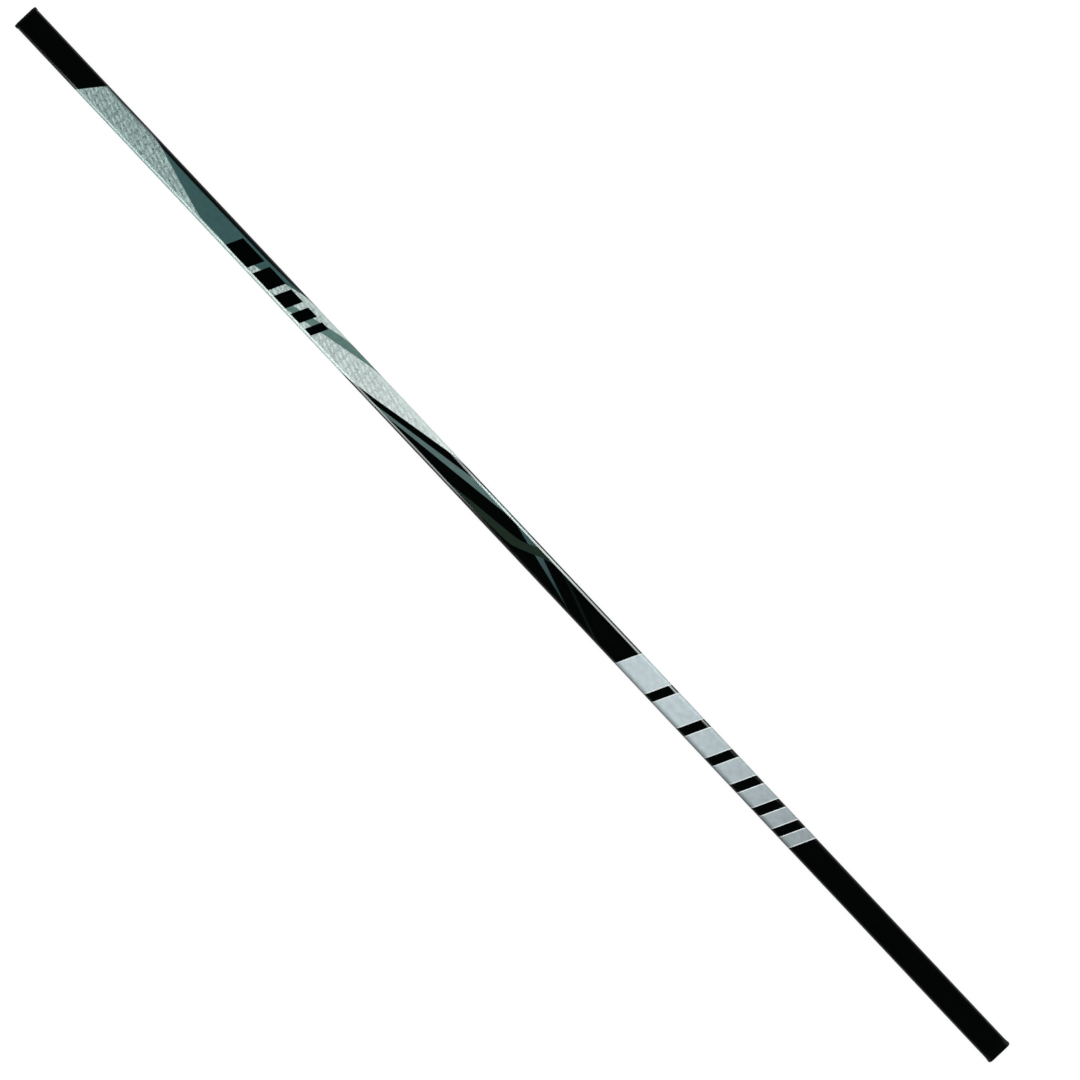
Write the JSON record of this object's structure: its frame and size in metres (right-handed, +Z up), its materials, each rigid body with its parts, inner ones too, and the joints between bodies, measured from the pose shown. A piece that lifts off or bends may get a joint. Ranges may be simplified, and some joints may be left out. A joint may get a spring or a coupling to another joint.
{
  "type": "ringette stick",
  "caption": "Straight ringette stick: hollow rounded-rectangular composite shaft with a flared, grooved tip glued into one end and a push-in rubber plug in the butt.",
  "frame": {"origin": "centre of the bounding box's base, under the middle of the stick, on the surface that the stick lies on", "axes": "+X along the stick from the butt to the tip, +Y across the wide faces, +Z up out of the wide face that the picture shows"},
  "size_m": [1.524, 0.0304, 0.0212],
  "materials": {
    "shaft_laminate": "clear-coated carbon composite, black, with printed silver and teal bands",
    "plug_rubber": "matt black moulded rubber",
    "tip_nylon": "satin black moulded nylon",
    "hot_melt": "waxy amber hot-melt glue"
  },
  "bodies": {
    "stick": {"shaft_tube": "shaft_laminate", "tip": "tip_nylon", "tip_adhesive": "hot_melt"},
    "plug": {"butt_plug": "plug_rubber"}
  },
  "joints": [
    {"name": "butt_plug_pull", "type": "slide", "parent": "stick", "child": "plug", "axis": [-1, 0, 0], "range_m": [0, 0.04]}
  ]
}
